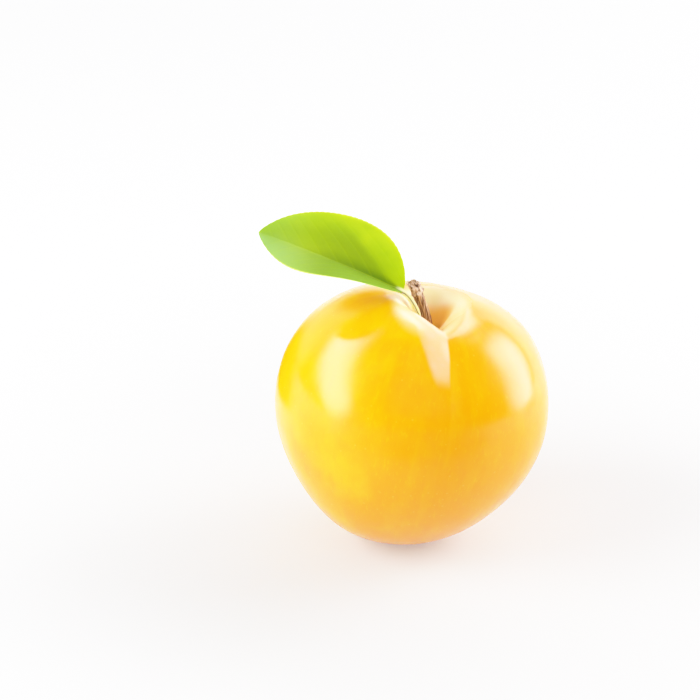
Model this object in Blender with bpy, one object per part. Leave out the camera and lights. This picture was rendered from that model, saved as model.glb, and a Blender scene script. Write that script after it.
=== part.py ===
"""A yellow plum with its stem and one leaf, resting on a small flat spot.

Metres, +Z up. The origin is the middle of the flat spot under the fruit. The front is -Y:
the suture, the crease that runs down the fruit from its stem cavity, faces there, and the leaf
reaches out to -X.
"""

from math import acos, asin, atan2, copysign, cos, exp, hypot, pi, radians, sin

import bmesh
import bpy
from mathutils import Matrix, Vector

MM = 0.001

# The fruit, in its own frame: its middle is the origin, and its stem end is at +Z.
EQUATOR_RADIUS = 25.7 * MM
HALF_HEIGHT = 25.2 * MM
SHOULDER = 0.165  # how much wider the stem half is than the apex half
APEX_POINT = 0.4 * MM  # how far the blossom end stands out
APEX_SPREAD = 0.3
# Where the skin bulges or sinks: the direction from the fruit's middle, and how far it stands out.
CHEEKS = (
    (Vector((0.6, 0.33, 0.73)), 0.6 * MM),
    (Vector((0.94, 0.14, 0.31)), -1.2 * MM),
    (Vector((0.1, 0.42, 0.9)), -0.5 * MM),
    (Vector((-0.5, -0.36, -0.78)), 1.0 * MM),
    (Vector((-0.93, 0.15, -0.35)), 1.1 * MM),
)
CHEEK_SPREAD = 0.1

CAVITY_OFFSET = Vector((0.3, 0.1)) * MM  # the cavity's axis stands beside the fruit's
CAVITY_DEPTH = 8.0 * MM
CAVITY_FLOOR_RADIUS = 1.7 * MM
CAVITY_SLOPE = 2.8 * MM  # the distance over which the cavity's wall climbs
CAVITY_ROUNDING = 1.5
CAVITY_SQUEEZE = 1.3  # how much steeper its wall is on the right
RIM_WIDENING = 0.2  # the rim is broader and lower at the front

# The suture: a notch in the cavity's rim, then a step between the cheeks, then a faint line down
# to the apex. Distances along it are from the cavity's axis.
SUTURE_AZIMUTH = radians(-81)
SUTURE_RIM = 5.2 * MM  # where the notch is deepest
NOTCH_DEPTH = 3.5 * MM
NOTCH_FADE = (6.8 * MM, 5.4 * MM)  # towards the stem, and away from it
NOTCH_SECTION = (3.3 * MM, 2.2 * MM, 1.4)  # its left width, right width and sharpness
STEP_HEIGHT = 0.95 * MM  # how far the left cheek stands out over the right one
STEP_RUN = (5 * MM, 9 * MM, 20.5 * MM, 23.5 * MM)  # it starts, is full, starts to fade, and ends
STEP_EDGE = 0.2 * MM  # the facet between the cheeks ends here on its right
STEP_WIDTH = (6.0 * MM, 4.6 * MM)  # the facet's width where the step is full, and where it ends
STEP_CURVE = 1.15
STEP_SPREAD = 8 * MM  # how far the cheeks are raised and sunk beside it
LINE_DEPTH = 0.2 * MM
LINE_SECTION = (2.0 * MM, 1.2 * MM, 1.3)

# How the fruit lies: its stem end leans to +X and a little back.
LEAN_RIGHT = radians(8.5)
LEAN_BACK = radians(2.5)
FRUIT_CENTRE = Vector((1.7, 0.6, 24.9)) * MM
RINGS = 44
MERIDIANS = 66
RING_GATHER = 1.35  # above 1, the rings gather at the cavity
MERIDIAN_GATHER = 0.55  # above 0, the meridians gather at the suture
ON_SPOT = 1e-6  # what is this close to the plane of the flat spot is on it

# The stem: offsets from the middle of the cavity's floor, and the radius there.
STEM_POINTS = (
    (Vector((-0.05, 0.0, 0.6)) * MM, 1.1 * MM),
    (Vector((-0.45, 0.0, 2.7)) * MM, 1.1 * MM),
    (Vector((-1.2, 0.0, 5.5)) * MM, 1.05 * MM),
    (Vector((-1.85, 0.0, 7.5)) * MM, 1.15 * MM),
    (Vector((-2.4, 0.0, 8.9)) * MM, 1.3 * MM),
    (Vector((-2.9, 0.0, 10.2)) * MM, 1.1 * MM),
)

# The leaf: its petiole climbs beside the stem, and its midrib goes on from there to the tip.
PETIOLE_FOOT = Vector((3.2, -0.3, 44.6)) * MM
PETIOLE_BEND = Vector((1.5, -0.2, 49.5)) * MM
LEAF_BASE = Vector((-0.3, -0.4, 50.6)) * MM
LEAF_BEND = Vector((-14.6, 4.3, 56.0)) * MM
LEAF_TIP = Vector((-26.9, 4.1, 60.7)) * MM
LEAF_HALF_WIDTH = 11.4 * MM
LEAF_FULLEST = 0.8  # below 1, the blade is widest nearer its base than its tip
LEAF_ROUNDNESS = 0.8  # below 1, its outline is rounder than a sine
PETIOLE_RADIUS = 0.5 * MM
MIDRIB_TIP_RADIUS = 0.2 * MM
BLADE_HALF_THICKNESS = 0.15 * MM
RIB_SPREAD = 0.7 * MM
END_TAPER = 0.05  # the share of the leaf's length over which each end rounds off
# How far each half of the blade rises beside the midrib: at the base, between, and at the tip.
BACK_FOLD = (radians(47), radians(10), radians(51))
FRONT_FOLD = (radians(18), radians(22), radians(-34))
LEAF_STATIONS = 44
LEAF_SIDES = 24
PETIOLE_SHARE = 0.2  # the share of the stations that lie on the petiole
STATION_GATHER = 1.3  # above 1, the blade's stations gather at its base
SIDE_GATHER = 1.5  # above 1, a section's points gather at the midrib


def clear_scene():
    for obj in list(bpy.data.objects):
        bpy.data.objects.remove(obj)


def material(name, colour, roughness):
    made = bpy.data.materials.new(name)
    made.use_nodes = True
    shader = made.node_tree.nodes["Principled BSDF"]
    shader.inputs["Base Color"].default_value = (*colour, 1)
    shader.inputs["Roughness"].default_value = roughness
    shader.inputs["Metallic"].default_value = 0
    return made


def add_object(shape, name, collection, look):
    """Make an object of a bmesh, with its faces out and its creases sharp."""
    bmesh.ops.recalc_face_normals(shape, faces=shape.faces)
    mesh = bpy.data.meshes.new(name)
    shape.to_mesh(mesh)
    shape.free()
    mesh.materials.append(look)
    mesh.shade_smooth()
    mesh.set_sharp_from_angle(angle=radians(35))
    collection.objects.link(bpy.data.objects.new(name, mesh))


def sphere_angles(vertex):
    """A unit sphere's vertex as an angle from its pole and a turn about its axis."""
    polar = acos(max(-1, min(1, vertex.co.z)))
    return polar, atan2(vertex.co.y, vertex.co.x)


# Fruit


def fruit_frame():
    """The turn and shift from the fruit's own frame to the world."""
    lean = Matrix.Rotation(LEAN_RIGHT, 4, "Y") @ Matrix.Rotation(-LEAN_BACK, 4, "X")
    return Matrix.Translation(FRUIT_CENTRE) @ lean


def soft_step(value, start, end):
    share = max(0, min(1, (value - start) / (end - start)))
    return share * share * (3 - 2 * share)


def cavity_drop(x, y):
    """How far the stem cavity lowers the surface at a place beside the cavity's axis."""
    squeezed = x * CAVITY_SQUEEZE if x > 0 else x
    from_axis = hypot(squeezed, y)
    past_floor = max(from_axis - CAVITY_FLOOR_RADIUS, 0)
    frontal = soft_step(-y, 0, from_axis) if y < 0 else 0
    widening = RIM_WIDENING * frontal * soft_step(past_floor, 0, CAVITY_SLOPE)
    slope = CAVITY_SLOPE * (1 + widening)
    return CAVITY_DEPTH * exp(-((past_floor / slope) ** (CAVITY_ROUNDING - widening)))


def groove(aside, left_width, right_width, sharpness):
    """A groove's section: 1 in its middle, and 0 well beside it."""
    return exp(-((abs(aside) / (right_width if aside > 0 else left_width)) ** sharpness))


def cheek_step(aside, width):
    """The step's section, from 0.5 on the left cheek down to -0.5 on the right one."""
    off = aside - STEP_EDGE
    beyond = max(off, -width - off, 0)
    across = max(0, min(1, 1 + off / width))
    return (0.5 - across**STEP_CURVE) * exp(-((beyond / STEP_SPREAD) ** 2))


def suture_drop(x, y, polar):
    """How far the suture sinks the surface, or lifts it where the number is negative."""
    along = x * cos(SUTURE_AZIMUTH) + y * sin(SUTURE_AZIMUTH)
    aside = y * cos(SUTURE_AZIMUTH) - x * sin(SUTURE_AZIMUTH)
    if along < 0:
        return 0.0
    drop = LINE_DEPTH * (1 + cos(polar)) / 2 * groove(aside, *LINE_SECTION)
    if polar < pi / 2:
        from_axis = hypot(x, y)
        fade = NOTCH_FADE[0] if from_axis < SUTURE_RIM else NOTCH_FADE[1]
        notch = NOTCH_DEPTH * exp(-(((from_axis - SUTURE_RIM) / fade) ** 2))
        start, full, fading, end = STEP_RUN
        run = soft_step(from_axis, start, full) * soft_step(from_axis, end, fading)
        width = STEP_WIDTH[0] + (STEP_WIDTH[1] - STEP_WIDTH[0]) * soft_step(from_axis, full, end)
        drop += notch * groove(aside, *NOTCH_SECTION)
        drop -= run * STEP_HEIGHT * cheek_step(aside, width)
    return drop * min(along / SUTURE_RIM, 1)


def cheek_rise(outwards):
    """How far the cheeks raise the skin in a direction from the fruit's middle."""
    return sum(
        rise * exp((outwards.dot(towards.normalized()) - 1) / CHEEK_SPREAD)
        for towards, rise in CHEEKS
    )


def skin_point(polar, azimuth):
    """A point of the skin: polar is 0 at the stem end and pi at the apex."""
    radius = EQUATOR_RADIUS * sin(polar) * (1 + SHOULDER * cos(polar))
    height = HALF_HEIGHT * cos(polar) - APEX_POINT * exp(-(((pi - polar) / APEX_SPREAD) ** 2))
    point = Vector((radius * cos(azimuth), radius * sin(azimuth), height))
    beside = point.xy - CAVITY_OFFSET
    if polar < pi / 2:
        point.z -= cavity_drop(*beside)
    outwards = Vector((cos(azimuth) * sin(polar), sin(azimuth) * sin(polar), cos(polar)))
    return point + outwards * (cheek_rise(outwards) - suture_drop(*beside, polar))


def cavity_floor():
    """The middle of the cavity's floor, in the world."""
    off_axis = asin(CAVITY_OFFSET.length / (EQUATOR_RADIUS * (1 + SHOULDER)))
    return fruit_frame() @ skin_point(off_axis, atan2(CAVITY_OFFSET.y, CAVITY_OFFSET.x))


def cut_flat_spot(shape):
    """Cut off what lies below z = 0 and close the cut with one flat face."""
    bmesh.ops.bisect_plane(
        shape,
        geom=shape.verts[:] + shape.edges[:] + shape.faces[:],
        plane_co=(0, 0, 0),
        plane_no=(0, 0, -1),
        dist=ON_SPOT,
        clear_outer=True,
    )
    bmesh.ops.contextual_create(shape, geom=[e for e in shape.edges if e.is_boundary])
    for vertex in shape.verts:
        if abs(vertex.co.z) < ON_SPOT:
            vertex.co.z = 0


def make_fruit(collection):
    shape = bmesh.new()
    bmesh.ops.create_uvsphere(shape, u_segments=MERIDIANS, v_segments=RINGS, radius=1)
    for vertex in shape.verts:
        polar, turn = sphere_angles(vertex)
        gathered = pi * (polar / pi) ** RING_GATHER
        azimuth = SUTURE_AZIMUTH + turn - MERIDIAN_GATHER * sin(turn)
        vertex.co = fruit_frame() @ skin_point(gathered, azimuth)
    cut_flat_spot(shape)
    add_object(shape, "fruit", collection, material("plum_skin", (0.9, 0.6, 0.03), 0.3))


# Stem


def make_stem(collection):
    curve = bpy.data.curves.new("stem", "CURVE")
    curve.dimensions = "3D"
    curve.bevel_depth = 1
    curve.bevel_resolution = 3
    curve.resolution_u = 4
    curve.use_fill_caps = True
    line = curve.splines.new("BEZIER")
    line.bezier_points.add(len(STEM_POINTS) - 1)
    for point, (offset, radius) in zip(line.bezier_points, STEM_POINTS):
        point.co = cavity_floor() + offset
        point.radius = radius
        point.handle_left_type = point.handle_right_type = "AUTO"
    curve.materials.append(material("plum_stem", (0.25, 0.13, 0.06), 0.8))
    collection.objects.link(bpy.data.objects.new("stem", curve))


# Leaf


def bend(start, middle, end, share):
    """A quadratic curve's value, for points and for angles."""
    return start * (1 - share) ** 2 + middle * (2 * share * (1 - share)) + end * share**2


def bend_direction(start, middle, end, share):
    return ((middle - start) * (1 - share) + (end - middle) * share).normalized()


def leaf_point(station, turn):
    """A point of the leaf's surface.

    Station is 0 at the petiole's foot and 1 at the tip, and turn goes round the section from its
    front edge, over its top, to its back edge and underneath.
    """
    if station < PETIOLE_SHARE:
        share = 0
        line = (PETIOLE_FOOT, PETIOLE_BEND, LEAF_BASE, station / PETIOLE_SHARE)
    else:
        share = ((station - PETIOLE_SHARE) / (1 - PETIOLE_SHARE)) ** STATION_GATHER
        line = (LEAF_BASE, LEAF_BEND, LEAF_TIP, share)
    along = bend_direction(*line)
    front = Vector((0, 0, 1)).cross(along).normalized()
    up = along.cross(front)

    end = min(1, station / END_TAPER, (1 - station) / END_TAPER) ** 0.5
    rib = PETIOLE_RADIUS + (MIDRIB_TIP_RADIUS - PETIOLE_RADIUS) * share
    blade = LEAF_HALF_WIDTH * max(0, sin(pi * share**LEAF_FULLEST)) ** LEAF_ROUNDNESS
    reach = max(blade, rib * end) * abs(cos(turn)) ** SIDE_GATHER
    side = copysign(1, cos(turn))
    fold = bend(*(FRONT_FOLD if side > 0 else BACK_FOLD), share) if share > 0 else 0

    sideways = front * (side * cos(fold)) + up * sin(fold)
    normal = up.lerp(up * cos(fold) - front * (side * sin(fold)), min(reach / RIB_SPREAD, 1))
    swell = (rib - BLADE_HALF_THICKNESS) * exp(-((reach / RIB_SPREAD) ** 2))
    thickness = (BLADE_HALF_THICKNESS + swell) * end
    return bend(*line) + sideways * reach + normal * (thickness * sin(turn))


def make_leaf(collection):
    shape = bmesh.new()
    bmesh.ops.create_uvsphere(shape, u_segments=LEAF_SIDES, v_segments=LEAF_STATIONS, radius=1)
    for vertex in shape.verts:
        polar, turn = sphere_angles(vertex)
        vertex.co = leaf_point(polar / pi, turn)
    add_object(shape, "leaf", collection, material("plum_leaf", (0.35, 0.6, 0.03), 0.5))


def main():
    clear_scene()
    collection = bpy.data.collections.new("plum")
    bpy.context.scene.collection.children.link(collection)
    make_fruit(collection)
    make_stem(collection)
    make_leaf(collection)


main()
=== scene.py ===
"""The looks of a yellow plum with its stem and one leaf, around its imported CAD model.

Metres, +Z up, in the CAD's frame. The camera looks along +Y, from a little above. The fruit, the
stem and the leaf are fine meshes made by formulas: each follows its CAD solid's own, and adds the
relief that the solid leaves out. The numbers that the formulas share with part.py have its names.
"""

from math import copysign, cos, exp, hypot, pi, radians, sin, sqrt

import bmesh
import bpy
from mathutils import Matrix, Vector, noise


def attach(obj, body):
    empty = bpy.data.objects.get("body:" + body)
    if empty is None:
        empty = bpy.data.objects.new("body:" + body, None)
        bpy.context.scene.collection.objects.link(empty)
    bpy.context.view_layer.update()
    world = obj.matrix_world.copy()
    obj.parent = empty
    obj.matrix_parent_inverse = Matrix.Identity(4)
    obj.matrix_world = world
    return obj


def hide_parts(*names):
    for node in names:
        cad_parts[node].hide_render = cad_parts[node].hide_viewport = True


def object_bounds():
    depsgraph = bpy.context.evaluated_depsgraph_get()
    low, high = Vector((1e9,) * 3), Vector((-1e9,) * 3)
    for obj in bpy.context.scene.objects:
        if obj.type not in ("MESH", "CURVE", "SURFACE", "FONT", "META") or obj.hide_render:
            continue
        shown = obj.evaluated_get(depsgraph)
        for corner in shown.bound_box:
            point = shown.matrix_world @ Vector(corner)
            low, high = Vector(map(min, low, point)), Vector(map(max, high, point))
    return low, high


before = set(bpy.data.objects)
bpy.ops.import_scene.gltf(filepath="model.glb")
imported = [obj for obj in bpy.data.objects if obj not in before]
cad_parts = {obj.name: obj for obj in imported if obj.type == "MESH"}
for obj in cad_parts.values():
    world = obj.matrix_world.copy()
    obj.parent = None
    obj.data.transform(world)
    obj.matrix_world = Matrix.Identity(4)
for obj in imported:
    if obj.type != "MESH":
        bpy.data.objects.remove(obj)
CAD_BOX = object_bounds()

MM = 0.001

# The fruit, in its own frame: its middle is the origin, and its stem end is at +Z.
EQUATOR_RADIUS = 25.7 * MM
HALF_HEIGHT = 25.2 * MM
SHOULDER = 0.165  # how much wider the stem half is than the apex half
APEX_POINT = 0.4 * MM
APEX_SPREAD = 0.3
# Where the skin bulges or sinks: the direction from the fruit's middle, and how far it stands out.
CHEEKS = (
    (Vector((0.6, 0.33, 0.73)).normalized(), 0.6 * MM),
    (Vector((0.94, 0.14, 0.31)).normalized(), -1.2 * MM),
    (Vector((0.1, 0.42, 0.9)).normalized(), -0.5 * MM),
    (Vector((-0.5, -0.36, -0.78)).normalized(), 1.0 * MM),
    (Vector((-0.93, 0.15, -0.35)).normalized(), 1.1 * MM),
)
CHEEK_SPREAD = 0.1

CAVITY_OFFSET = Vector((0.3, 0.1)) * MM  # the cavity's axis stands beside the fruit's
CAVITY_DEPTH = 8.0 * MM
CAVITY_FLOOR_RADIUS = 1.7 * MM
CAVITY_SLOPE = 2.8 * MM
CAVITY_ROUNDING = 1.5
CAVITY_SQUEEZE = 1.3
RIM_WIDENING = 0.2  # the rim is broader and lower at the front

# The suture: a notch in the cavity's rim, then a step between the cheeks, then a faint line down
# to the apex. Distances along it are from the cavity's axis.
SUTURE_AZIMUTH = radians(-81)
SUTURE_RIM = 5.2 * MM  # where the notch is deepest
NOTCH_DEPTH = 3.5 * MM
NOTCH_FADE = (6.8 * MM, 5.4 * MM)  # towards the stem, and away from it
NOTCH_SECTION = (3.3 * MM, 2.2 * MM, 1.4)  # its left width, right width and sharpness
STEP_HEIGHT = 0.95 * MM  # how far the left cheek stands out over the right one
STEP_RUN = (5 * MM, 9 * MM, 20.5 * MM, 23.5 * MM)  # it starts, is full, starts to fade, and ends
STEP_EDGE = 0.2 * MM  # the facet between the cheeks ends here on its right
STEP_WIDTH = (6.0 * MM, 4.6 * MM)  # the facet's width where the step is full, and where it ends
STEP_CURVE = 1.15
STEP_SPREAD = 8 * MM  # how far the cheeks are raised and sunk beside it
SUTURE_WANDER = 0.45 * MM  # how far it wanders from side to side
SUTURE_WAVE = 6 * MM  # and over what length
# The highlight painted on the facet between the cheeks: its width and length, and how its left side
# is cut short.
# Each fade is where the painted highlight begins to show and where it is full, beside that edge.
FACET_HIGHLIGHT_WIDTH = 5.1 * MM
FACET_HIGHLIGHT_LENGTH = 21.5 * MM
FACET_HIGHLIGHT_CUT = 5 * MM
FACET_HIGHLIGHT_START_FADE = (6 * MM, 10 * MM)
FACET_HIGHLIGHT_RIGHT_FADE = (0.2 * MM, -0.25 * MM)
FACET_HIGHLIGHT_LEFT_FADE = (-1.4 * MM, 2.2 * MM)
FACET_HIGHLIGHT_END_FADE = (-1.1 * MM, 1.3 * MM)
LINE_DEPTH = 0.2 * MM
LINE_SECTION = (2.0 * MM, 1.2 * MM, 1.3)

LEAN_RIGHT = radians(8.5)
LEAN_BACK = radians(2.5)
FRUIT_CENTRE = Vector((1.7, 0.6, 24.9)) * MM
SPOT_SOFTNESS = 0.12 * MM  # how gently the skin meets the surface that it rests on
RINGS = 250
MERIDIANS = 300
RING_GATHER = 1.35
MERIDIAN_GATHER = 0.55

# The skin's own relief: how far it stands out, and how wide its waves are.
UNDULATION = 0.07 * MM
UNDULATION_WIDTH = 7 * MM
PLEAT = 0.02 * MM
PLEATS = 7.0

# The skin's paint.
GOLDEN = (0.88, 0.31, 0.0)
LEMON = (0.92, 0.41, 0.0)
LEMON_SIDE = Vector((-0.8, 0.42, -0.03)).normalized()  # the skin is more lemon towards this side
# Streaks from the stem to the apex: how many go round, how many rings, the noise's detail, where
# it begins to show and where it is full, and their colour.
STREAKS = (
    (8.0, 2.2, 3.0, 0.4, 0.75, (0.93, 0.44, 0.0)),
    (26.0, 9.0, 2.0, 0.5, 0.8, (0.86, 0.28, 0.0)),
    (60.0, 22.0, 1.0, 0.58, 0.78, (0.94, 0.48, 0.005)),
)
# The pale cream on the cavity's rim, partly paler skin and partly a painted highlight where the rim
# catches the light; it reaches out further at the front.
RIM_PALENESS_AND_HIGHLIGHT_CENTRE = Vector((-0.5, -3.4, 0)) * MM
RIM_PALENESS_AND_HIGHLIGHT_TURN = (0, 0, radians(-10))
RIM_PALENESS_AND_HIGHLIGHT_SIZE = (7.0 * MM, 11.2 * MM, 1)

# The stem's line, as heights above the cavity's floor.
STEM_FOOT = Vector((4.5, 1.44, 41.63)) * MM
STEM_HEIGHT = 10.3 * MM
STEM_SINK = 0.15 * MM
STEM_LEAN = 0.13
STEM_BEND = 0.0155 / MM
SHAFT_RADIUS = 1.08 * MM
FOOT_FLARE = 0.3 * MM
FOOT_HEIGHT = 1.4 * MM
KNOB_RISE = 0.12 * MM
COLLAR_HEIGHT = 8.2 * MM
COLLAR_SLANT = 0.5  # the collar is higher on the right
COLLAR_RISE = 0.26 * MM
COLLAR_WIDTH = 0.3 * MM
TORN_RISE = 0.8 * MM  # how unevenly its end is torn
# Ridges of the bark and of the torn end: how densely they go round, how long they are, and a seed.
BROAD_RIDGES = (1.7, 5 * MM, 0)
BROAD_RISE = 0.16 * MM
BARK_RIDGES = (4.5, 4 * MM, 9)
BARK_RISE = 0.13 * MM
TORN_LUMPS = (2.2, 0.9 * MM, 30)
LUMP_RISE = 0.2 * MM
TORN_FIBRES = (4.0, 2.2 * MM, 50)
FIBRE_RISE = 0.26 * MM
STEM_STATIONS = 180
STEM_SIDES = 120

# The leaf: its petiole climbs beside the stem, and its midrib goes on from there to the tip.
PETIOLE_FOOT = Vector((3.2, -0.3, 44.6)) * MM
PETIOLE_BEND = Vector((1.5, -0.2, 49.5)) * MM
LEAF_BASE = Vector((-0.3, -0.4, 50.6)) * MM
LEAF_BEND = Vector((-14.6, 4.3, 56.0)) * MM
LEAF_TIP = Vector((-26.9, 4.1, 60.7)) * MM
LEAF_HALF_WIDTH = 11.4 * MM
LEAF_FULLEST = 0.8
LEAF_ROUNDNESS = 0.8
PETIOLE_RADIUS = 0.5 * MM
MIDRIB_TIP_RADIUS = 0.16 * MM
BLADE_HALF_THICKNESS = 0.1 * MM
RIB_SPREAD = 0.5 * MM
END_TAPER = 0.05
BACK_FOLD = (radians(47), radians(10), radians(51))
FRONT_FOLD = (radians(18), radians(22), radians(-34))
LEAF_STATIONS = 250
LEAF_SIDES = 300
PETIOLE_SHARE = 0.2
STATION_GATHER = 1.3
SIDE_GATHER = 1.15

VEIN_SPACING = 3.3 * MM
VEIN_SLANT = 0.95  # how far a side vein runs along for each step that it runs out
VEIN_CURVE = 30.0
VEIN_WIDTH = 0.16 * MM
VEIN_SINK = 0.04 * MM
TOOTH_LENGTH = 0.95 * MM
TOOTH_HEIGHT = 0.1 * MM
GROOVE_TURN = 0.24  # the petiole's groove faces the front, and a little upwards
GROOVE_WIDTH = 0.34
GROOVE_DEPTH = 0.42  # a share of the petiole's radius
GROOVE_END = 0.03  # the share of the blade's length over which the groove runs out
STALK_END = 0.06  # and the same for the petiole's colour
MIDRIB_SINK = 0.85  # how much flatter the midrib is on top
# The highlight painted along the blade's edge:
MARGIN_START = {"front": 0.945, "back": 0.97}  # shares of the way out to the blade's edge
MARGIN_FADE = 0.03
RIB_WIDTH = 0.18 * MM
FURROW_SHADE_PLACE = 0.5 * MM  # the painted shade of a furrow lies in front of the midrib
FURROW_SHADE_WIDTH = 0.22 * MM
LEAF_MARKS = ("vein", "lit_margin", "share", "far", "rib", "furrow_shade", "groove", "petiole", "under")

# The view.
VIEW_ELEVATION = radians(25)
VIEW_DISTANCE = 0.3694
VIEW_OFFSET = Vector((-10.25, 5.0, 4.8)) * MM  # from the middle of the CAD's box to the aim
LENS = 100
SENSOR = 36

# The studio.
LIGHT_DISTANCE = 0.6
PANEL_COLOUR = (1.0, 0.88, 1.0)
# How the picture rolls off towards white: light in the scene, and light in the picture.
ROLL_OFF = ((0.0, 0.0), (0.5, 0.5), (0.9, 0.78), (1.3, 0.93), (2.0, 1.0))


# Materials


def new_material(name):
    made = bpy.data.materials.new(name)
    made.use_nodes = True
    return made, made.node_tree, made.node_tree.nodes["Principled BSDF"]


def node(tree, kind, inputs, **settings):
    """Add a shader node. Each input is a socket to link or a value to set."""
    made = tree.nodes.new("ShaderNode" + kind)
    for name, value in settings.items():
        setattr(made, name, value)
    for name, value in inputs.items():
        if isinstance(value, bpy.types.NodeSocket):
            tree.links.new(value, made.inputs[name])
        else:
            made.inputs[name].default_value = value
    return made


def math(tree, operation, *values):
    """A Math node's result."""
    return node(tree, "Math", dict(enumerate(values)), operation=operation).outputs[0]


def vector_math(tree, operation, *values):
    made = node(tree, "VectorMath", dict(enumerate(values)), operation=operation)
    return made.outputs["Value" if operation in ("DOT_PRODUCT", "LENGTH") else "Vector"]


def ramp(tree, value, low, high, to_low=0.0, to_high=1.0):
    """Map a value from low..high to to_low..to_high, with soft ends."""
    inputs = {"Value": value, "From Min": low, "From Max": high}
    inputs.update({"To Min": to_low, "To Max": to_high})
    return node(tree, "MapRange", inputs, interpolation_type="SMOOTHSTEP").outputs["Result"]


def mix(tree, share, start, end):
    """Mix two colours, each a socket or three numbers."""
    colours = [c if isinstance(c, bpy.types.NodeSocket) else (*c, 1) for c in (start, end)]
    made = node(tree, "Mix", {0: share, 6: colours[0], 7: colours[1]}, data_type="RGBA")
    return made.outputs[2]


def noise_value(tree, place, scale, detail=2.0, roughness=0.5):
    inputs = {"Vector": place, "Scale": scale, "Detail": detail, "Roughness": roughness}
    return node(tree, "TexNoise", inputs).outputs["Fac"]


def bump(tree, height, distance, strength=1.0, below=None):
    inputs = {"Height": height, "Distance": distance, "Strength": strength}
    if below is not None:
        inputs["Normal"] = below
    return node(tree, "Bump", inputs).outputs["Normal"]


def connect(tree, shader, **sockets):
    names = {"colour": "Base Color", "roughness": "Roughness", "normal": "Normal"}
    for name, socket in sockets.items():
        tree.links.new(socket, shader.inputs[names[name]])


def product(tree, amount, *others):
    for other in others:
        amount = math(tree, "MULTIPLY", amount, other)
    return amount


def fruit_places(tree):
    """Where a point is on the fruit, in the fruit's own frame, as sockets by name."""
    world = node(tree, "TexCoord", {}).outputs["Object"]
    inputs = {"Vector": world, "Location": FRUIT_CENTRE, "Rotation": fruit_frame().to_euler()}
    place = node(tree, "Mapping", inputs, vector_type="TEXTURE").outputs[0]
    outwards = vector_math(tree, "NORMALIZE", place)
    polar = math(tree, "ARCCOSINE", node(tree, "SeparateXYZ", {0: outwards}).outputs["Z"])
    level = vector_math(tree, "MULTIPLY", place, (1, 1, 0))
    beside = vector_math(tree, "SUBTRACT", place, (*CAVITY_OFFSET, 0))
    return {
        "place": place,
        "outwards": outwards,
        "polar": polar,
        "level": level,
        "from_stem": vector_math(tree, "LENGTH", vector_math(tree, "MULTIPLY", beside, (1, 1, 0))),
        "upper": ramp(tree, polar, 1.0, 1.2, 1.0, 0.0),
    }


def streaky_noise(tree, at, turns, rings, detail, roughness=0.5):
    """A noise drawn out into streaks that run from the stem to the apex."""
    around = vector_math(tree, "NORMALIZE", at["level"])
    down = node(tree, "CombineXYZ", {"Z": math(tree, "MULTIPLY", at["polar"], rings)}).outputs[0]
    drawn = vector_math(tree, "MULTIPLY_ADD", around, (turns, turns, turns), down)
    return noise_value(tree, drawn, 1.0, detail, roughness)


def ripe_colour(tree, at):
    """Golden skin with lemon patches, and streaks that fade out beside the cavity."""
    facing = vector_math(tree, "DOT_PRODUCT", at["outwards"], LEMON_SIDE)
    patches = math(tree, "MULTIPLY_ADD", facing, 0.32, noise_value(tree, at["place"], 90.0, 3.0))
    colour = mix(tree, ramp(tree, patches, 0.36, 0.76), GOLDEN, LEMON)
    clear = ramp(tree, at["from_stem"], 5 * MM, 13 * MM)
    for turns, rings, detail, low, high, tint in STREAKS:
        streaks = ramp(tree, streaky_noise(tree, at, turns, rings, detail), low, high, 0.0, 0.3)
        colour = mix(tree, product(tree, streaks, clear), colour, tint)
    return colour


def lenticels(tree, place):
    """Small round dots, of which about half are kept."""
    dots = node(tree, "TexVoronoi", {"Vector": place, "Scale": 620.0, "Randomness": 1.0})
    dot = ramp(tree, dots.outputs["Distance"], 0.06, 0.16, 1.0, 0.0)
    shade = node(tree, "SeparateColor", {0: dots.outputs["Color"]}).outputs[0]
    return product(tree, dot, math(tree, "GREATER_THAN", shade, 0.45))


def paint_rim_paleness_and_highlight(tree, at, colour):
    """Make the skin on the cavity's rim paler, partly as paler skin and partly as a painted
    highlight, the most so at its back where its slope faces the light.
    """
    inputs = {"Vector": at["level"], "Location": RIM_PALENESS_AND_HIGHLIGHT_CENTRE, "Rotation": RIM_PALENESS_AND_HIGHLIGHT_TURN, "Scale": RIM_PALENESS_AND_HIGHLIGHT_SIZE}
    place = node(tree, "Mapping", inputs, vector_type="TEXTURE").outputs[0]
    # Paler skin and painted highlight on the rim, fading out beyond it.
    rim = ramp(tree, vector_math(tree, "LENGTH", place), 0.78, 1.12, 0.92, 0.0)
    front = ramp(tree, node(tree, "SeparateXYZ", {0: at["level"]}).outputs["Y"], 1 * MM, -6 * MM)
    # A pinkish painted highlight at the front, and creamier paint at the back.
    cream_and_highlight = mix(tree, front, (1.0, 0.8, 0.46), (0.97, 0.63, 0.25))
    return mix(tree, product(tree, rim, at["upper"]), colour, cream_and_highlight)


def paint_facet_highlight(tree, at, colour):
    """Paint a patchy pale highlight on the suture's facet, where the mesh marks it."""
    facet_highlight = node(tree, "Attribute", {}, attribute_name="facet_highlight").outputs["Fac"]
    patchy = ramp(tree, noise_value(tree, at["place"], 420.0, 3.0), 0.3, 0.7, 0.72, 0.95)
    # Painted highlight: pale pinkish skin where the facet catches the light.
    return mix(tree, product(tree, facet_highlight, patchy), colour, (0.97, 0.47, 0.24))


def paint_cavity(tree, at, colour):
    """Make the cavity's wall tan, and paint scratched russet at the stem's foot, darkened and spread
    to stand in for the shadow on the cavity's floor.
    """
    wall = ramp(tree, at["from_stem"], 3.1 * MM, 4.5 * MM, 0.95, 0.0)
    colour = mix(tree, product(tree, wall, at["upper"]), colour, (0.97, 0.47, 0.07))
    # Russet, and painted shadow on the cavity's floor.
    russet_and_shadow = ramp(tree, at["from_stem"], 1.0 * MM, 2.5 * MM, 1.0, 0.0)
    scratches = ramp(tree, streaky_noise(tree, at, 30.0, 4.0, 3.0), 0.3, 0.7, 0.5, 1.0)
    return mix(tree, product(tree, russet_and_shadow, at["upper"], scratches), colour, (0.3, 0.13, 0.03))


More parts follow.
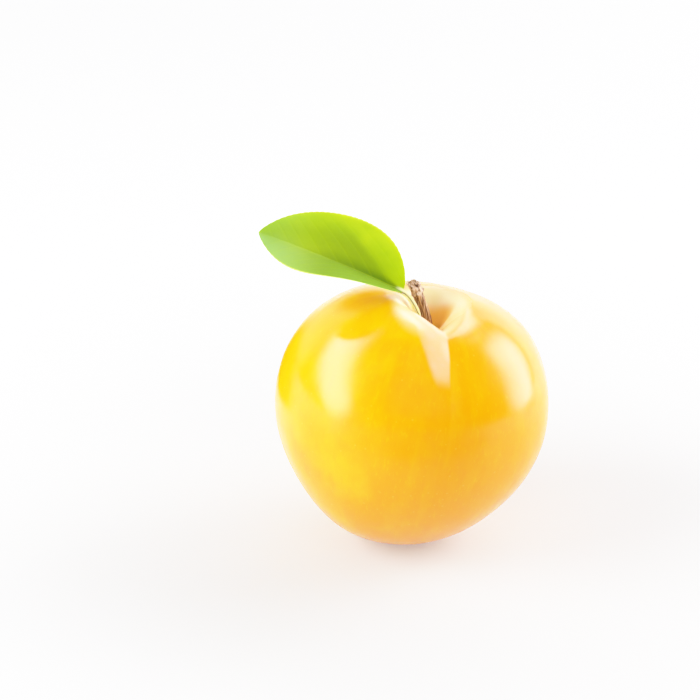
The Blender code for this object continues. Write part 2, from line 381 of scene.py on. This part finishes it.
def skin_material():
    made, tree, shader = new_material("plum_skin")
    at = fruit_places(tree)
    dot = lenticels(tree, at["place"])
    colour = mix(tree, product(tree, dot, 0.25), ripe_colour(tree, at), (0.96, 0.6, 0.08))
    colour = paint_rim_paleness_and_highlight(tree, at, colour)
    colour = paint_facet_highlight(tree, at, colour)
    colour = paint_cavity(tree, at, colour)
    scar = ramp(tree, at["polar"], pi - 0.05, pi - 0.03)  # the blossom's, at the apex
    colour = mix(tree, scar, colour, (0.16, 0.08, 0.04))

    wax = ramp(tree, streaky_noise(tree, at, 5.0, 1.5, 3.0, 0.6), 0.3, 0.7)
    dull = product(tree, ramp(tree, at["from_stem"], 5 * MM, 8.5 * MM, 0.3, 0.0), at["upper"])
    roughness = math(tree, "ADD", ramp(tree, wax, 0.0, 1.0, 0.15, 0.19), dull)
    connect(tree, shader, colour=colour, roughness=roughness, normal=bump(tree, dot, 0.01 * MM, 0.1))
    shader.inputs["Specular IOR Level"].default_value = 0.24
    shader.inputs["Subsurface Weight"].default_value = 0.35
    shader.inputs["Subsurface Radius"].default_value = (1.0, 0.55, 0.12)
    shader.inputs["Subsurface Scale"].default_value = 4 * MM
    return made


def stem_material():
    made, tree, shader = new_material("stem_bark")
    place = node(tree, "TexCoord", {}).outputs["Object"]
    height = node(tree, "Attribute", {}, attribute_name="height").outputs["Fac"]
    bark = node(tree, "Attribute", {}, attribute_name="bark").outputs["Fac"]
    drawn = vector_math(tree, "MULTIPLY", place, (1, 1, 0.08))
    fibres = noise_value(tree, drawn, 1500.0, 4.0, 0.65)
    raised = math(tree, "MULTIPLY_ADD", bark, 0.4, math(tree, "MULTIPLY", fibres, 0.6))
    colour = mix(tree, ramp(tree, raised, 0.38, 0.62), (0.09, 0.035, 0.012), (0.5, 0.29, 0.13))
    threads = noise_value(tree, drawn, 3600.0, 2.0)
    colour = mix(tree, ramp(tree, threads, 0.52, 0.72, 0.0, 0.75), colour, (0.78, 0.56, 0.36))

    foot = ramp(tree, height, 0.0, 0.45, 0.6, 0.0)
    colour = mix(tree, foot, colour, (0.26, 0.085, 0.02))
    lumps = noise_value(tree, vector_math(tree, "MULTIPLY", place, (1, 1, 0.5)), 1500.0, 3.0, 0.6)
    torn = ramp(tree, height, 0.72, 0.84)
    pith = product(tree, torn, ramp(tree, lumps, 0.46, 0.6), 0.85)
    colour = mix(tree, pith, colour, (0.8, 0.58, 0.42))
    pits = product(tree, torn, ramp(tree, lumps, 0.44, 0.34), 0.9)
    colour = mix(tree, pits, colour, (0.03, 0.012, 0.006))

    normal = bump(tree, fibres, 0.12 * MM, 0.6)
    normal = bump(tree, threads, 0.05 * MM, 0.5, normal)
    connect(tree, shader, colour=colour, normal=normal)
    shader.inputs["Roughness"].default_value = 0.7
    shader.inputs["Specular IOR Level"].default_value = 0.35
    return made


def blade_painted_shade_and_sheen(tree, share, far):
    """Painted shade and painted sheen on the blade: an amount and a colour for each layer.

    Painted shade darkens it beside its midrib, at its base and on its near half, its far edge is
    left bright, and a painted sheen makes it pale at its tip.
    """
    # Painted shade beside the midrib, where the blade turns away from the light.
    slant = math(tree, "SUBTRACT", math(tree, "MULTIPLY", share, 1.7), far)
    dull = product(
        tree,
        ramp(tree, slant, -0.12, 0.16),
        ramp(tree, share, 0.35, 0.95, 1.0, 0.0),
        ramp(tree, far, 0.4, 0.95, 1.0, 0.0),
        0.85,
    )
    # Painted shade at the blade's base.
    base = product(
        tree, ramp(tree, share, 0.15, 0.7, 1.0, 0.0), ramp(tree, far, 0.0, 0.25, 1.0, 0.0), 0.92
    )
    # Painted shade on the near half.
    near = product(
        tree, ramp(tree, far, 0.08, -0.12, 0.0, 0.8), ramp(tree, share, 0.4, 0.9, 1.0, 0.4)
    )
    # Painted sheen towards the tip.
    tip = ramp(tree, share, 0.6, 0.95, 0.0, 0.6)
    # A painted reflection, pale over the near half towards the tip.
    pale = product(tree, ramp(tree, share, 0.45, 0.95), ramp(tree, far, 0.45, -0.75), 0.68)
    return (
        (dull, (0.17, 0.27, 0.0)),
        (base, (0.07, 0.145, 0.0)),
        (near, (0.11, 0.22, 0.0)),
        (tip, (0.2, 0.36, 0.045)),
        (pale, (0.25, 0.44, 0.11)),
    )


def leaf_lines(tree, marks, net):
    """The leaf's fine marks, some of them painted shade and painted highlight: an amount and a
    colour for each.
    """
    return (
        (product(tree, net, 0.04), (0.36, 0.52, 0.0)),
        (product(tree, marks["vein"], 0.1), (0.4, 0.56, 0.0)),
        # Painted shade of a furrow in front of the midrib.
        (product(tree, marks["furrow_shade"], 0.5), (0.06, 0.11, 0.0)),
        (product(tree, marks["rib"], 0.4), (0.42, 0.56, 0.02)),
        (product(tree, marks["under"], 0.4), (0.34, 0.5, 0.14)),
        # Painted highlight along the blade's edge.
        (product(tree, marks["lit_margin"], 0.8), (0.62, 0.86, 0.12)),
        (marks["petiole"], (0.86, 0.82, 0.42)),
        # Painted shadow in the petiole's groove, which the mesh also carves.
        (product(tree, marks["groove"], 0.95), (0.07, 0.08, 0.005)),
    )


def leaf_material():
    made, tree, shader = new_material("leaf_green")
    place = node(tree, "TexCoord", {}).outputs["Object"]
    marks = {
        name: node(tree, "Attribute", {}, attribute_name=name).outputs["Fac"]
        for name in LEAF_MARKS
    }
    inputs = {"Vector": place, "Scale": 1500.0}
    cells = node(tree, "TexVoronoi", inputs, feature="DISTANCE_TO_EDGE").outputs["Distance"]
    net = ramp(tree, cells, 0.02, 0.12, 1.0, 0.0)
    clouds = ramp(tree, noise_value(tree, place, 160.0, 3.0), 0.3, 0.7)
    colour = mix(tree, clouds, (0.27, 0.4, 0.0), (0.34, 0.47, 0.0))
    for amount, tint in blade_painted_shade_and_sheen(tree, marks["share"], marks["far"]):
        colour = mix(tree, amount, colour, tint)
    for amount, tint in leaf_lines(tree, marks, net):
        colour = mix(tree, amount, colour, tint)

    roughness = ramp(tree, marks["vein"], 0.0, 1.0, 0.6, 0.66)
    normal = bump(tree, net, 0.02 * MM, 0.15)
    connect(tree, shader, colour=colour, roughness=roughness, normal=normal)
    shader.inputs["Specular IOR Level"].default_value = 0.06
    shader.inputs["Subsurface Weight"].default_value = 0.5
    shader.inputs["Subsurface Radius"].default_value = (0.8, 1.0, 0.1)
    shader.inputs["Subsurface Scale"].default_value = 0.4 * MM
    return made


# Meshes


def grown_mesh(name, rings, sides, place):
    """A closed mesh of rings of points between two poles.

    place gives the point, and a dict of its marks, at a share of the way from the first pole to
    the last and at a turn about the line between them. The marks become the mesh's attributes.
    """
    turns = [2 * pi * side / sides for side in range(sides)]
    placed = [place(0, 0)]
    placed += [place(ring / rings, turn) for ring in range(1, rings) for turn in turns]
    placed.append(place(1, 0))
    last = len(placed) - 1
    faces = []
    for side in range(sides):
        beside = (side + 1) % sides
        faces.append((0, 1 + side, 1 + beside))
        faces.append((last, last - sides + beside, last - sides + side))
        for ring in range(1, last - sides, sides):
            after = ring + sides
            faces.append((ring + side, after + side, after + beside, ring + beside))

    mesh = bpy.data.meshes.new(name)
    mesh.from_pydata([point for point, marks in placed], [], faces)
    for mark in placed[0][1]:
        values = [marks[mark] for point, marks in placed]
        mesh.attributes.new(mark, "FLOAT", "POINT").data.foreach_set("value", values)
    shape = bmesh.new()
    shape.from_mesh(mesh)
    bmesh.ops.recalc_face_normals(shape, faces=shape.faces)
    shape.to_mesh(mesh)
    shape.free()
    return mesh


def add_piece(mesh, node_name, material):
    """Show a mesh as the piece that stands for a CAD node."""
    mesh.shade_smooth()
    mesh.materials.append(material)
    piece = bpy.data.objects.new(mesh.name, mesh)
    bpy.context.scene.collection.objects.link(piece)
    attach(piece, "root")
    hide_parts(node_name)


def soft_step(value, start, end):
    share = max(0, min(1, (value - start) / (end - start)))
    return share * share * (3 - 2 * share)


# Fruit


def fruit_frame():
    lean = Matrix.Rotation(LEAN_RIGHT, 4, "Y") @ Matrix.Rotation(-LEAN_BACK, 4, "X")
    return Matrix.Translation(FRUIT_CENTRE) @ lean


def cavity_drop(x, y):
    squeezed = x * CAVITY_SQUEEZE if x > 0 else x
    from_axis = hypot(squeezed, y)
    past_floor = max(from_axis - CAVITY_FLOOR_RADIUS, 0)
    frontal = soft_step(-y, 0, from_axis) if y < 0 else 0
    widening = RIM_WIDENING * frontal * soft_step(past_floor, 0, CAVITY_SLOPE)
    slope = CAVITY_SLOPE * (1 + widening)
    return CAVITY_DEPTH * exp(-((past_floor / slope) ** (CAVITY_ROUNDING - widening)))


def groove(aside, left_width, right_width, sharpness):
    """A groove's section: 1 in its middle, and 0 well beside it."""
    return exp(-((abs(aside) / (right_width if aside > 0 else left_width)) ** sharpness))


def cheek_step(aside, width):
    """The step's section, from 0.5 on the left cheek down to -0.5 on the right one."""
    off = aside - STEP_EDGE
    beyond = max(off, -width - off, 0)
    across = max(0, min(1, 1 + off / width))
    return (0.5 - across**STEP_CURVE) * exp(-((beyond / STEP_SPREAD) ** 2))


def beside_suture(x, y):
    """How far a place is along the suture, and how far to its right."""
    along = x * cos(SUTURE_AZIMUTH) + y * sin(SUTURE_AZIMUTH)
    aside = y * cos(SUTURE_AZIMUTH) - x * sin(SUTURE_AZIMUTH)
    return along, aside + SUTURE_WANDER * noise.noise(Vector((along / SUTURE_WAVE, 0, 3)))


def suture_drop(x, y, polar):
    along, aside = beside_suture(x, y)
    if along < 0:
        return 0.0
    drop = LINE_DEPTH * (1 + cos(polar)) / 2 * groove(aside, *LINE_SECTION)
    if polar < pi / 2:
        from_axis = hypot(x, y)
        fade = NOTCH_FADE[0] if from_axis < SUTURE_RIM else NOTCH_FADE[1]
        notch = NOTCH_DEPTH * exp(-(((from_axis - SUTURE_RIM) / fade) ** 2))
        start, full, fading, end = STEP_RUN
        run = soft_step(from_axis, start, full) * soft_step(from_axis, end, fading)
        width = STEP_WIDTH[0] + (STEP_WIDTH[1] - STEP_WIDTH[0]) * soft_step(from_axis, full, end)
        drop += notch * groove(aside, *NOTCH_SECTION)
        drop -= run * STEP_HEIGHT * cheek_step(aside, width)
    return drop * min(along / SUTURE_RIM, 1)


def facet_highlight_mark(x, y, polar):
    """How much highlight is painted on the skin beside the suture, from 0 to 1."""
    along, aside = beside_suture(x, y)
    if along < 0 or polar > pi / 2:
        return 0.0
    cut = max(0, -aside / FACET_HIGHLIGHT_WIDTH - 0.4) / 0.6
    left = FACET_HIGHLIGHT_LENGTH - FACET_HIGHLIGHT_CUT * cut * cut - hypot(x, y)
    across = soft_step(aside, *FACET_HIGHLIGHT_RIGHT_FADE) * soft_step(FACET_HIGHLIGHT_WIDTH + aside, *FACET_HIGHLIGHT_LEFT_FADE)
    return across * soft_step(left, *FACET_HIGHLIGHT_END_FADE) * soft_step(hypot(x, y), *FACET_HIGHLIGHT_START_FADE)


def skin_relief(outwards, polar, azimuth):
    """The slight waves of the skin, and the faint pleats that run from the stem to the apex."""
    waves = noise.noise(outwards * (EQUATOR_RADIUS / UNDULATION_WIDTH))
    pleats = noise.noise(Vector((cos(azimuth) * PLEATS, sin(azimuth) * PLEATS, polar * 1.2)))
    return UNDULATION * waves + PLEAT * pleats * sin(polar) ** 2


def skin_point(polar, azimuth):
    radius = EQUATOR_RADIUS * sin(polar) * (1 + SHOULDER * cos(polar))
    height = HALF_HEIGHT * cos(polar) - APEX_POINT * exp(-(((pi - polar) / APEX_SPREAD) ** 2))
    point = Vector((radius * cos(azimuth), radius * sin(azimuth), height))
    beside = point.xy - CAVITY_OFFSET
    if polar < pi / 2:
        point.z -= cavity_drop(*beside)
    outwards = Vector((cos(azimuth) * sin(polar), sin(azimuth) * sin(polar), cos(polar)))
    cheeks = sum(rise * exp((outwards.dot(to) - 1) / CHEEK_SPREAD) for to, rise in CHEEKS)
    lift = cheeks - suture_drop(*beside, polar) + skin_relief(outwards, polar, azimuth)
    return point + outwards * lift, {"facet_highlight": facet_highlight_mark(*beside, polar)}


def make_fruit():
    to_world = fruit_frame()

    def place(share, turn):
        azimuth = SUTURE_AZIMUTH + turn - MERIDIAN_GATHER * sin(turn)
        point, marks = skin_point(pi * share**RING_GATHER, azimuth)
        point = to_world @ point
        point.z = (point.z + sqrt(point.z**2 + SPOT_SOFTNESS**2)) / 2
        return point, marks

    add_piece(grown_mesh("plum_fruit", RINGS, MERIDIANS, place), "fruit", skin_material())


# Stem


def stem_line(height):
    """The middle of the stem at a height above the cavity's floor."""
    return STEM_FOOT + Vector((-height * (STEM_LEAN + STEM_BEND * height), 0, height))


def noise_round(turn, density, along):
    """A noise that varies round the stem and along it."""
    return noise.noise(Vector((cos(turn) * density, sin(turn) * density, along)))


def ridge_noise(ridges, height, turn):
    density, length, seed = ridges
    return noise_round(turn, density, height / length + seed)


def stem_radius(height, turn):
    share = height / STEM_HEIGHT
    radius = SHAFT_RADIUS + FOOT_FLARE * exp(-height / FOOT_HEIGHT)
    radius += KNOB_RISE * soft_step(share, 0.74, 0.9)
    collar = (height - COLLAR_HEIGHT - COLLAR_SLANT * SHAFT_RADIUS * cos(turn)) / COLLAR_WIDTH
    radius += COLLAR_RISE * exp(-collar * collar)
    radius += BROAD_RISE * ridge_noise(BROAD_RIDGES, height, turn)
    radius += BARK_RISE * ridge_noise(BARK_RIDGES, height, turn)
    torn = LUMP_RISE * ridge_noise(TORN_LUMPS, height, turn)
    torn += FIBRE_RISE * ridge_noise(TORN_FIBRES, height, turn)
    return radius + torn * soft_step(share, 0.7, 0.82)


def stem_point(share, turn):
    """A point of the stem's surface, from its torn end at share 0 to its foot at share 1."""
    risen = 1 - share
    closing = min(1, risen / 0.04, share / 0.05) ** 0.5
    height = -STEM_SINK + (STEM_HEIGHT + STEM_SINK) * risen
    jag = noise_round(turn, 1.6, 4) + noise_round(turn, 6 * closing, 8)
    raised = height + TORN_RISE * jag * soft_step(risen, 0.84, 1)
    radius = stem_radius(height, turn) * closing
    point = stem_line(raised) + Vector((cos(turn), sin(turn), 0)) * radius
    bark = 0.5 + 0.5 * ridge_noise(BARK_RIDGES, height, turn)
    return point, {"height": risen, "bark": bark}


def make_stem():
    mesh = grown_mesh("plum_stem", STEM_STATIONS, STEM_SIDES, stem_point)
    add_piece(mesh, "stem", stem_material())


# Leaf


def bend(start, middle, end, share):
    return start * (1 - share) ** 2 + middle * (2 * share * (1 - share)) + end * share**2


def bend_direction(start, middle, end, share):
    return ((middle - start) * (1 - share) + (end - middle) * share).normalized()


def blade_reach(share):
    return LEAF_HALF_WIDTH * max(0, sin(pi * share**LEAF_FULLEST)) ** LEAF_ROUNDNESS


def vein_mark(share, reach, blade, side):
    """How near a point of the blade is to the middle of a side vein, from 0 to 1."""
    length = (LEAF_TIP - LEAF_BASE).length
    run = share * length - reach * (VEIN_SLANT + VEIN_CURVE * reach) + side * VEIN_SPACING / 4
    off = abs((run / VEIN_SPACING) % 1 - 0.5) * VEIN_SPACING
    fade = soft_step(reach, 0.97 * blade, 0.7 * blade) * soft_step(share, 0.0, 0.05)
    return exp(-((off / VEIN_WIDTH) ** 2)) * fade


def leaf_line(station):
    """The share of the blade's length at a station, and the curve there: its points and a share."""
    if station < PETIOLE_SHARE:
        return 0, (PETIOLE_FOOT, PETIOLE_BEND, LEAF_BASE, station / PETIOLE_SHARE)
    share = ((station - PETIOLE_SHARE) / (1 - PETIOLE_SHARE)) ** STATION_GATHER
    return share, (LEAF_BASE, LEAF_BEND, LEAF_TIP, share)


def petiole_groove(share, turn):
    """The section of the groove along the petiole: 1 in its middle, and 0 well beside it."""
    off = (turn - GROOVE_TURN + pi) % (2 * pi) - pi
    return exp(-((off / GROOVE_WIDTH) ** 2)) * soft_step(share, GROOVE_END, 0)


def leaf_marks(share, turn, across, reach, rib):
    """How far a point of the leaf belongs to each of its marks that the material paints."""
    side = copysign(1, cos(turn))
    lit_margin = MARGIN_START["front" if side > 0 else "back"]
    seen = soft_step(share, 0.62, 0.1) * soft_step(sin(turn), -0.1, 0.1)
    return {
        # painted highlight along the blade's edge
        "lit_margin": soft_step(across, lit_margin, lit_margin + MARGIN_FADE) * soft_step(share, 0, 0.03),
        "share": share,
        "far": -side * across,
        "rib": exp(-((reach / RIB_WIDTH) ** 2)) * seen,
        # painted shade of a furrow, which the mesh doesn't carve
        "furrow_shade": exp(-(((side * reach - FURROW_SHADE_PLACE) / FURROW_SHADE_WIDTH) ** 2)) * seen,
        "petiole": soft_step(rib * 1.6 - reach, 0, rib) * soft_step(share, STALK_END, 0),
        "under": soft_step(-sin(turn), 0, 0.1) * soft_step(share, 0, 0.1),
    }


def leaf_point(station, turn):
    """A point of the leaf's surface and its marks, as in the CAD, with veins and a toothed edge."""
    share, line = leaf_line(station)
    along = bend_direction(*line)
    front = Vector((0, 0, 1)).cross(along).normalized()
    up = along.cross(front)

    end = min(1, station / END_TAPER, (1 - station) / END_TAPER) ** 0.5
    rib = PETIOLE_RADIUS + (MIDRIB_TIP_RADIUS - PETIOLE_RADIUS) * share
    blade = blade_reach(share)
    across = abs(cos(turn)) ** SIDE_GATHER
    reach = max(blade, rib * end) * across
    side = copysign(1, cos(turn))
    fold = bend(*(FRONT_FOLD if side > 0 else BACK_FOLD), share) if share > 0 else 0

    tooth = abs(sin(pi * share * (LEAF_TIP - LEAF_BASE).length / TOOTH_LENGTH))
    reach += TOOTH_HEIGHT * (tooth - 1) * soft_step(across, 0.9, 1) * min(1, blade / (3 * MM))

    sideways = front * (side * cos(fold)) + up * sin(fold)
    normal = up.lerp(up * cos(fold) - front * (side * sin(fold)), min(reach / RIB_SPREAD, 1))
    swell = (rib - BLADE_HALF_THICKNESS) * exp(-((reach / RIB_SPREAD) ** 2))
    if turn < pi:
        swell *= 1 - MIDRIB_SINK * soft_step(share, 0, 0.1)
    thickness = (BLADE_HALF_THICKNESS + swell) * end * sin(turn)

    marks = leaf_marks(share, turn, across, reach, rib)
    marks["vein"] = vein_mark(share, reach, blade, side) if share > 0 else 0
    marks["groove"] = petiole_groove(share, turn) * end
    carved = 1 - GROOVE_DEPTH * marks["groove"]
    raised = thickness * carved - VEIN_SINK * marks["vein"]
    return bend(*line) + sideways * (reach * carved) + normal * raised, marks


def make_leaf():
    mesh = grown_mesh("plum_leaf", LEAF_STATIONS, LEAF_SIDES, leaf_point)
    add_piece(mesh, "leaf", leaf_material())


# Studio


def make_floor():
    """A pale table that glows a little near the fruit and more further off, with a painted shadow:
    it is greyer near the fruit and whiter away from it.
    """
    made, tree, shader = new_material("pale_floor")
    place = node(tree, "TexCoord", {}).outputs["Object"]
    away = vector_math(tree, "LENGTH", place)
    # Painted shadow: the floor is greyer near the fruit.
    colour = mix(tree, ramp(tree, away, 0.025, 0.17), (0.56, 0.57, 0.57), (0.88, 0.9, 0.905))
    connect(tree, shader, colour=colour)
    glow = ramp(tree, away, 0.25, 1.2, 0.25, 2.2)
    tree.links.new(glow, shader.inputs["Emission Strength"])
    shader.inputs["Roughness"].default_value = 0.9
    shader.inputs["Specular IOR Level"].default_value = 0.2
    shader.inputs["Emission Color"].default_value = (1, 1, 1, 1)
    bpy.ops.mesh.primitive_circle_add(vertices=96, radius=4, fill_type="NGON")
    floor_disc = bpy.context.object
    floor_disc.name = "floor"
    floor_disc.data.materials.append(made)


def make_backdrop():
    """A white dome that only the camera sees, so that the floor meets white at every angle."""
    bpy.ops.mesh.primitive_uv_sphere_add(segments=48, ring_count=24, radius=4)
    dome = bpy.context.object
    dome.name = "backdrop"
    made, tree, shader = new_material("white_backdrop")
    shader.inputs["Base Color"].default_value = (0, 0, 0, 1)
    shader.inputs["Specular IOR Level"].default_value = 0
    shader.inputs["Emission Color"].default_value = (1, 1, 1, 1)
    shader.inputs["Emission Strength"].default_value = 2.2
    dome.data.materials.append(made)
    dome.visible_diffuse = False
    dome.visible_glossy = False
    dome.visible_shadow = False
    dome.visible_transmission = False


def aim(obj, target):
    obj.rotation_euler = (target - obj.location).to_track_quat("-Z", "Y").to_euler()


def from_angles(azimuth, elevation):
    """A direction: azimuth 0 is towards the camera, and 90 is to its right."""
    return Vector((sin(azimuth) * cos(elevation), -cos(azimuth) * cos(elevation), sin(elevation)))


def new_stage_material(name):
    made = bpy.data.materials.new(name)
    made.use_nodes = True
    made.node_tree.nodes.clear()
    return made, made.node_tree


def add_mirrored_panel(name, material, place, size):
    """Add a level panel that shows only as a reflection."""
    bpy.ops.mesh.primitive_plane_add(size=2)
    panel = bpy.context.object
    panel.name = name
    panel.data.materials.append(material)
    panel.scale = (size[0] / 2, size[1] / 2, 1)
    panel.location = place
    panel.visible_camera = False
    panel.visible_diffuse = False
    panel.visible_shadow = False
    panel.visible_transmission = False
    return panel


def add_softbox(name, azimuth, elevation, size, glow, roll):
    """A panel that mirrors in the skin, brightest in its middle. Its lamp does the lighting."""
    made, tree = new_stage_material(name)
    place = node(tree, "SeparateXYZ", {0: node(tree, "TexCoord", {}).outputs["Object"]})
    edges = [
        ramp(tree, math(tree, "ABSOLUTE", place.outputs[axis]), flat, 1.0, 1.0, 0.0)
        for axis, flat in (("X", 0.2), ("Y", 0.4))
    ]
    strength = math(tree, "MULTIPLY", math(tree, "MULTIPLY", *edges), glow)
    light = node(tree, "Emission", {"Color": (*PANEL_COLOUR, 1), "Strength": strength})
    node(tree, "OutputMaterial", {"Surface": light.outputs[0]})

    direction = from_angles(radians(azimuth), radians(elevation))
    panel = add_mirrored_panel(name, made, FRUIT_CENTRE + direction * LIGHT_DISTANCE, size)
    aim(panel, FRUIT_CENTRE)
    panel.rotation_euler.rotate_axis("Z", radians(roll))


def card_material(name, glow, cover):
    """A card's glow, mixed with clear glass where it covers less than all."""
    made, tree = new_stage_material(name)
    warm = node(tree, "Emission", {"Color": (0.9, 0.5, 0.0, 1), "Strength": glow}).outputs[0]
    clear = node(tree, "BsdfTransparent", {}).outputs[0]
    place = node(tree, "TexCoord", {}).outputs["Object"]
    shares = {"Fac": cover(tree, place), 1: clear, 2: warm}
    node(tree, "OutputMaterial", {"Surface": node(tree, "MixShader", shares).outputs[0]})
    return made


def add_bounce_card(name, place, size):
    """A soft-edged warm card behind the fruit."""

    def cover(tree, place):
        return ramp(tree, vector_math(tree, "LENGTH", place), 0.5, 1.0, 1.0, 0.0)

    card = add_mirrored_panel(name, card_material(name, 0.6, cover), place, size)
    aim(card, FRUIT_CENTRE)


def add_front_flag():
    """A dark card on the floor in front, which keeps the floor's far edge out of the skin."""
    middle = Vector((0, -2, 0.0004))
    size = (8, 3.94)

    def cover(tree, place):
        place = vector_math(tree, "MULTIPLY_ADD", place, (size[0] / 2, size[1] / 2, 1), middle)
        sides = node(tree, "SeparateXYZ", {0: place})
        turn = math(tree, "ABSOLUTE", math(tree, "DIVIDE", sides.outputs["X"], sides.outputs["Y"]))
        in_front = ramp(tree, sides.outputs["Y"], -0.03, -0.1)
        return math(tree, "MULTIPLY", ramp(tree, turn, 0.5, 2.0, 1.0, 0.0), in_front)

    add_mirrored_panel("front_flag", card_material("front_flag", 0.02, cover), middle, size)


def add_lamp(name, azimuth, elevation, size, power, shadow=True):
    """A wide lamp that lights the scene, and doesn't mirror in the skin."""
    light = bpy.data.lights.new(name, "AREA")
    light.shape = "RECTANGLE"
    light.size, light.size_y = size
    light.energy = power
    light.use_shadow = shadow
    lamp = bpy.data.objects.new(name, light)
    direction = from_angles(radians(azimuth), radians(elevation))
    lamp.location = FRUIT_CENTRE + direction * LIGHT_DISTANCE
    aim(lamp, FRUIT_CENTRE)
    lamp.visible_camera = False
    lamp.visible_glossy = False
    bpy.context.scene.collection.objects.link(lamp)


def make_world():
    """A dim room, bright behind the fruit and to its right."""
    world = bpy.data.worlds.new("studio")
    world.use_nodes = True
    tree = world.node_tree
    towards = node(tree, "TexCoord", {}).outputs["Generated"]
    facing = vector_math(tree, "DOT_PRODUCT", towards, from_angles(radians(150), radians(18)))
    strength = ramp(tree, facing, 0.7, 0.88, 0.05, 3.2)
    facing = vector_math(tree, "DOT_PRODUCT", towards, from_angles(radians(-147), radians(16)))
    strength = math(tree, "ADD", strength, ramp(tree, facing, 0.85, 0.97, 0.0, 1.3))
    tree.links.new(strength, tree.nodes["Background"].inputs["Strength"])
    tree.nodes["Background"].inputs["Color"].default_value = (1, 0.95, 0.97, 1)
    bpy.context.scene.world = world


def make_camera():
    camera = bpy.data.objects.new("camera", bpy.data.cameras.new("camera"))
    camera.data.lens = LENS
    camera.data.sensor_width = SENSOR
    camera.data.clip_start = 0.01
    target = (CAD_BOX[0] + CAD_BOX[1]) / 2 + VIEW_OFFSET
    camera.location = target + from_angles(0, VIEW_ELEVATION) * VIEW_DISTANCE
    aim(camera, target)
    bpy.context.scene.collection.objects.link(camera)
    bpy.context.scene.camera = camera


def set_roll_off():
    """Let the highlights roll off softly, where the standard view would clip them."""
    view = bpy.context.scene.view_settings
    view.view_transform = "Standard"
    view.use_curve_mapping = True
    mapping = view.curve_mapping
    brightest = ROLL_OFF[-1][0]
    mapping.white_level = (brightest, brightest, brightest)
    points = mapping.curves[3].points
    for light, shown in ROLL_OFF[1:-1]:
        points.new(light / brightest, shown)
    mapping.update()


def main():
    set_roll_off()
    make_camera()
    make_world()
    make_floor()
    make_backdrop()
    add_softbox("left_softbox", -89, 33, (0.45, 1.3), 22.0, roll=47)
    add_softbox("right_softbox", 110, 18, (0.52, 0.8), 16.0, roll=-35)
    add_softbox("back_softbox", 164, 46, (0.36, 0.3), 13.0, roll=0)
    add_front_flag()
    add_bounce_card("left_card", Vector((-65, 61, 15.5)) * MM, (0.11, 0.09))
    add_bounce_card("back_card", Vector((-15, 45, 70)) * MM, (0.04, 0.056))
    add_lamp("left_lamp", -75, 28, (0.4, 0.5), 5.9)
    add_lamp("right_lamp", 105, 24, (0.4, 0.5), 5.5)
    add_lamp("front_lamp", 5, 35, (0.6, 0.4), 1.6, shadow=False)
    add_lamp("top_lamp", 20, 72, (0.4, 0.4), 0.7, shadow=False)
    make_fruit()
    make_stem()
    make_leaf()


main()
